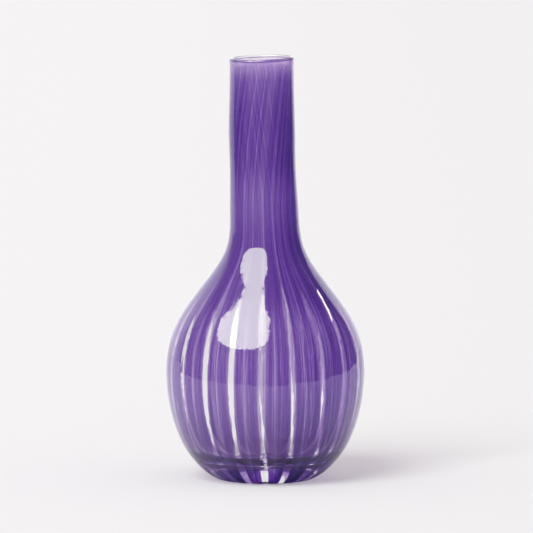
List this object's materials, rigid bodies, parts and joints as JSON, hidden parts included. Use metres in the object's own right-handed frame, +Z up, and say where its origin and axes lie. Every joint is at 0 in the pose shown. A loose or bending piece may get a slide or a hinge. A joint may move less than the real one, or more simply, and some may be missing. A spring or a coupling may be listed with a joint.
{
  "type": "glass vase",
  "caption": "Hand-blown glass vase with a round belly and a long narrow neck, purple glass canes sealed between clear layers.",
  "frame": {"origin": "on the ground plane at the middle of the flat foot, which is the bottom centre of the bounding box", "axes": "+Z up along the neck, -Y towards the viewer of the picture, +X to the viewer's right"},
  "size_m": [0.1134, 0.1134, 0.2405],
  "materials": {
    "clear_glass": "clear, fire-polished",
    "purple_glass": "transparent purple, slightly streaky"
  },
  "bodies": {
    "root": {"clear_casing": "clear_glass", "clear_lining": "clear_glass", "purple_cane_01": "purple_glass", "purple_cane_02": "purple_glass", "purple_cane_03": "purple_glass", "purple_cane_04": "purple_glass", "purple_cane_05": "purple_glass", "purple_cane_06": "purple_glass", "purple_cane_07": "purple_glass", "purple_cane_08": "purple_glass", "purple_cane_09": "purple_glass", "purple_cane_10": "purple_glass", "purple_cane_11": "purple_glass", "purple_cane_12": "purple_glass", "purple_cane_13": "purple_glass", "purple_cane_14": "purple_glass", "purple_cane_15": "purple_glass", "purple_cane_16": "purple_glass", "purple_cane_17": "purple_glass", "purple_cane_18": "purple_glass", "purple_cane_19": "purple_glass", "purple_cane_20": "purple_glass"}
  },
  "joints": []
}
